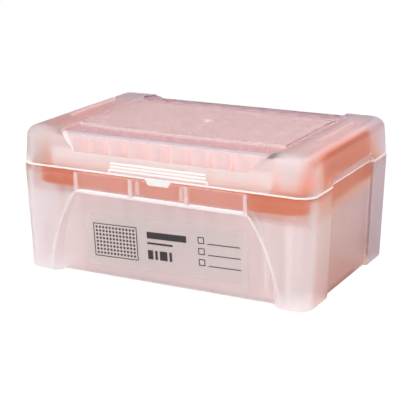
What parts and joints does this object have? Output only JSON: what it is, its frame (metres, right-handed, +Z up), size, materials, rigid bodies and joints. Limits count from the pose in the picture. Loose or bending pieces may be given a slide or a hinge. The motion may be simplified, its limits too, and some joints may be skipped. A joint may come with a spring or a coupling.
{
  "type": "box of pipette tips",
  "caption": "Hinged plastic laboratory box with a snap-in orange tray that holds disposable pipette tips upright on a nine millimetre grid.",
  "frame": {"origin": "centre of the box's foot, on the plane its four corner feet stand on", "axes": "+Z up, -Y the front with the latch and the label, +X the right-hand end; the hinges are at the back, +Y"},
  "size_m": [0.1246, 0.0837, 0.0587],
  "materials": {
    "frosted_plastic": "translucent frosted polypropylene with clear polished strips",
    "orange_plastic": "moulded orange polypropylene, satin",
    "label_film": "pale self-adhesive film label",
    "tip_plastic": "natural clear polypropylene"
  },
  "bodies": {
    "base": {"base": "frosted_plastic", "tip_tray": "orange_plastic", "label": "label_film", "tips_column_01": "tip_plastic", "tips_column_02": "tip_plastic", "tips_column_03": "tip_plastic", "tips_column_04": "tip_plastic", "tips_column_05": "tip_plastic", "tips_column_06": "tip_plastic", "tips_column_07": "tip_plastic", "tips_column_08": "tip_plastic", "tips_column_09": "tip_plastic", "tips_column_10": "tip_plastic", "tips_column_11": "tip_plastic", "tips_column_12": "tip_plastic"},
    "lid": {"lid": "frosted_plastic"}
  },
  "joints": [
    {"name": "lid_hinge", "type": "hinge", "parent": "base", "child": "lid", "pos_m": [0, 0.04075, 0.0412], "axis": [-1, 0, 0], "range_deg": [0, 110]}
  ]
}
